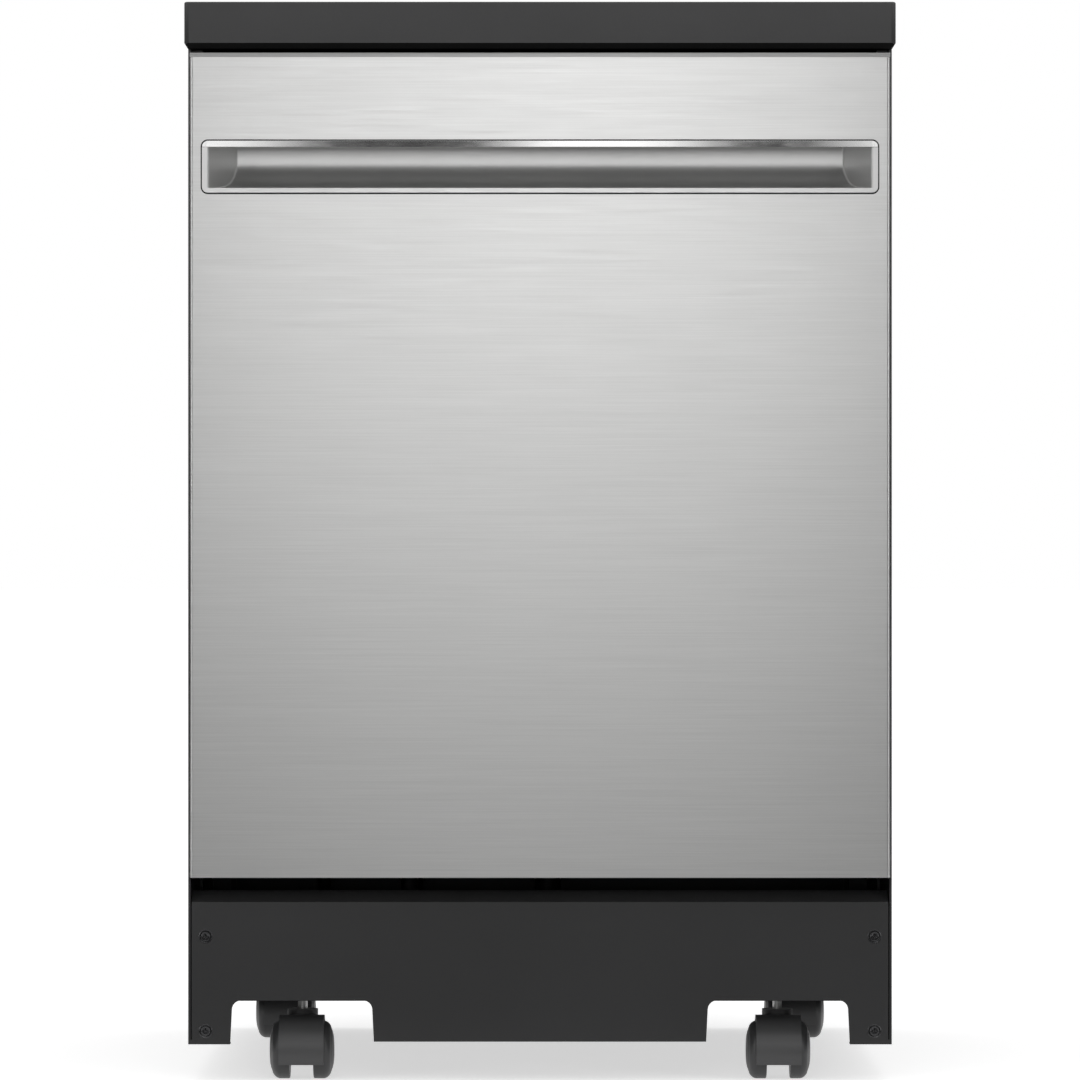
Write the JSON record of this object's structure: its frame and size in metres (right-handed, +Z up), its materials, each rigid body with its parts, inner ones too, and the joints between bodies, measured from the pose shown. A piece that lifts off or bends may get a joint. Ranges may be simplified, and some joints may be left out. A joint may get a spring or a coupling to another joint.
{
  "type": "portable dishwasher",
  "caption": "Full-size free-standing dishwasher on twin-wheel casters with a brushed steel drop-down door, pocket handle and dark worktop.",
  "frame": {"origin": "on the floor, under the centre of the machine's outer box", "axes": "+Z up, the door faces -Y, +X to the right as seen from the front"},
  "size_m": [0.6096, 0.654, 0.927],
  "materials": {
    "worktop_laminate": "fine matt texture",
    "cabinet_paint": "satin black",
    "toe_paint": "satin charcoal",
    "stainless_skin": "horizontal brush",
    "stainless_tub": "bright rolled",
    "bright_trim": "polished",
    "scoop_grey": "satin metallic grey",
    "zinc_steel": "zinc plated",
    "black_rubber": "matt",
    "caster_plastic": "moulded",
    "caster_tyre": "moulded nylon",
    "grey_plastic": "moulded",
    "light_plastic": "moulded",
    "black_plastic": "moulded",
    "rack_coating": "vinyl coated wire",
    "blue_plastic": "moulded",
    "board_green": "solder resist",
    "felt_grey": "felted fibre"
  },
  "bodies": {
    "cabinet": {"worktop": "worktop_laminate", "side_panel_left": "cabinet_paint", "side_panel_right": "cabinet_paint", "rear_panel": "cabinet_paint", "top_rail": "zinc_steel", "base_tray": "zinc_steel", "toe_panel": "toe_paint", "panel_screws": "black_plastic", "tub": "stainless_tub", "tub_gasket": "black_rubber", "sump": "grey_plastic", "circulation_pump": "black_plastic", "drain_pump": "black_plastic", "heating_element": "stainless_tub", "spray_feed_tube": "grey_plastic", "inlet_valve": "light_plastic", "hose_pocket": "black_plastic", "pocket_fittings": "light_plastic", "plumbing_hoses": "grey_plastic", "hinge_brackets": "zinc_steel", "door_springs": "zinc_steel", "latch_keeper": "black_plastic", "rail_rollers": "light_plastic", "caster_stems": "zinc_steel"},
    "door": {"door_outer_panel": "stainless_skin", "door_inner_panel": "stainless_tub", "door_console": "black_plastic", "control_board": "board_green", "door_insulation": "felt_grey", "door_latch": "zinc_steel", "handle_trim": "bright_trim", "handle_scoop": "scoop_grey", "hinge_arms": "zinc_steel", "dispenser_body": "grey_plastic"},
    "detergent_lid": {"dispenser_lid": "light_plastic"},
    "rinse_aid_cap": {"rinse_cap": "blue_plastic"},
    "button_power": {"button_power": "black_plastic"},
    "button_cycle": {"button_cycle": "black_plastic"},
    "button_start": {"button_start": "black_plastic"},
    "lower_rack_carriage": {"lower_rack": "rack_coating", "rack_wheel_brackets": "grey_plastic", "silverware_basket": "grey_plastic"},
    "lower_rack_front_wheels": {"rack_wheels_front": "grey_plastic"},
    "lower_rack_rear_wheels": {"rack_wheels_rear": "grey_plastic"},
    "upper_rack_rail_pair": {"upper_rails": "stainless_tub"},
    "upper_rack_carriage": {"upper_rack": "rack_coating", "rack_rollers": "grey_plastic", "upper_manifold": "grey_plastic"},
    "middle_arm": {"middle_spray_arm": "grey_plastic"},
    "lower_arm": {"lower_spray_arm": "grey_plastic"},
    "filter": {"filter_basket": "light_plastic"},
    "float": {"float_dome": "light_plastic"},
    "front_left_caster_swivel": {"caster_hood_fl": "caster_plastic"},
    "front_left_caster_wheels": {"caster_wheels_fl": "caster_tyre"},
    "front_right_caster_swivel": {"caster_hood_fr": "caster_plastic"},
    "front_right_caster_wheels": {"caster_wheels_fr": "caster_tyre"},
    "rear_left_caster_swivel": {"caster_hood_rl": "caster_plastic"},
    "rear_left_caster_wheels": {"caster_wheels_rl": "caster_tyre"},
    "rear_right_caster_swivel": {"caster_hood_rr": "caster_plastic"},
    "rear_right_caster_wheels": {"caster_wheels_rr": "caster_tyre"}
  },
  "joints": [
    {"name": "door_hinge", "type": "hinge", "parent": "cabinet", "child": "door", "pos_m": [0, -0.29, 0.238], "axis": [1, 0, 0], "range_deg": [0, 90]},
    {"name": "detergent_lid_slide", "type": "slide", "parent": "door", "child": "detergent_lid", "axis": [0, 0, -1], "range_m": [0, 0.055]},
    {"name": "rinse_aid_cap_twist", "type": "hinge", "parent": "door", "child": "rinse_aid_cap", "pos_m": [0.052, -0.263, 0.576], "axis": [0, 1, 0], "range_deg": [0, 90]},
    {"name": "button_power_press", "type": "slide", "parent": "door", "child": "button_power", "axis": [0, 0, -1], "range_m": [0, 0.0012], "stiffness_N_per_m": 900, "springref_m": -0.0004},
    {"name": "button_cycle_press", "type": "slide", "parent": "door", "child": "button_cycle", "axis": [0, 0, -1], "range_m": [0, 0.0012], "stiffness_N_per_m": 900, "springref_m": -0.0004},
    {"name": "button_start_press", "type": "slide", "parent": "door", "child": "button_start", "axis": [0, 0, -1], "range_m": [0, 0.0012], "stiffness_N_per_m": 900, "springref_m": -0.0004},
    {"name": "lower_rack_slide", "type": "slide", "parent": "cabinet", "child": "lower_rack_carriage", "axis": [0, -1, 0], "range_m": [0, 0.42]},
    {"name": "lower_rack_front_wheels_roll", "type": "hinge", "parent": "lower_rack_carriage", "child": "lower_rack_front_wheels", "pos_m": [0, -0.128, 0.2803], "axis": [1, 0, 0], "continuous": true},
    {"name": "lower_rack_rear_wheels_roll", "type": "hinge", "parent": "lower_rack_carriage", "child": "lower_rack_rear_wheels", "pos_m": [0, 0.18, 0.2803], "axis": [1, 0, 0], "continuous": true},
    {"name": "upper_rail_slide", "type": "slide", "parent": "cabinet", "child": "upper_rack_rail_pair", "axis": [0, -1, 0], "range_m": [0, 0.21]},
    {"name": "upper_rack_slide", "type": "slide", "parent": "upper_rack_rail_pair", "child": "upper_rack_carriage", "axis": [0, -1, 0], "range_m": [0, 0.21]},
    {"name": "middle_arm_spin", "type": "hinge", "parent": "upper_rack_carriage", "child": "middle_arm", "pos_m": [0, 0.005, 0.547], "axis": [0, 0, 1], "continuous": true},
    {"name": "lower_arm_spin", "type": "hinge", "parent": "cabinet", "child": "lower_arm", "pos_m": [0, 0.005, 0.281], "axis": [0, 0, 1], "continuous": true},
    {"name": "filter_twist", "type": "hinge", "parent": "cabinet", "child": "filter", "pos_m": [0.07, -0.07, 0.25], "axis": [0, 0, 1], "range_deg": [0, 45]},
    {"name": "float_lift", "type": "slide", "parent": "cabinet", "child": "float", "axis": [0, 0, 1], "range_m": [0, 0.01]},
    {"name": "front_left_caster_turn", "type": "hinge", "parent": "cabinet", "child": "front_left_caster_swivel", "pos_m": [-0.206, -0.2365, 0.04], "axis": [0, 0, 1], "continuous": true},
    {"name": "front_left_caster_roll", "type": "hinge", "parent": "front_left_caster_swivel", "child": "front_left_caster_wheels", "pos_m": [-0.206, -0.2555, 0.025], "axis": [1, 0, 0], "continuous": true},
    {"name": "front_right_caster_turn", "type": "hinge", "parent": "cabinet", "child": "front_right_caster_swivel", "pos_m": [0.206, -0.2365, 0.04], "axis": [0, 0, 1], "continuous": true},
    {"name": "front_right_caster_roll", "type": "hinge", "parent": "front_right_caster_swivel", "child": "front_right_caster_wheels", "pos_m": [0.206, -0.2555, 0.025], "axis": [1, 0, 0], "continuous": true},
    {"name": "rear_left_caster_turn", "type": "hinge", "parent": "cabinet", "child": "rear_left_caster_swivel", "pos_m": [-0.238, 0.2215, 0.04], "axis": [0, 0, 1], "continuous": true},
    {"name": "rear_left_caster_roll", "type": "hinge", "parent": "rear_left_caster_swivel", "child": "rear_left_caster_wheels", "pos_m": [-0.238, 0.2025, 0.025], "axis": [1, 0, 0], "continuous": true},
    {"name": "rear_right_caster_turn", "type": "hinge", "parent": "cabinet", "child": "rear_right_caster_swivel", "pos_m": [0.238, 0.2215, 0.04], "axis": [0, 0, 1], "continuous": true},
    {"name": "rear_right_caster_roll", "type": "hinge", "parent": "rear_right_caster_swivel", "child": "rear_right_caster_wheels", "pos_m": [0.238, 0.2025, 0.025], "axis": [1, 0, 0], "continuous": true}
  ],
  "couplings": [
    {"joint": "lower_rack_slide", "follows": "door_hinge", "m_per_rad": 0.0828},
    {"joint": "upper_rail_slide", "follows": "door_hinge", "m_per_rad": 0.1336},
    {"joint": "upper_rack_slide", "follows": "door_hinge", "m_per_rad": 0.1336}
  ]
}
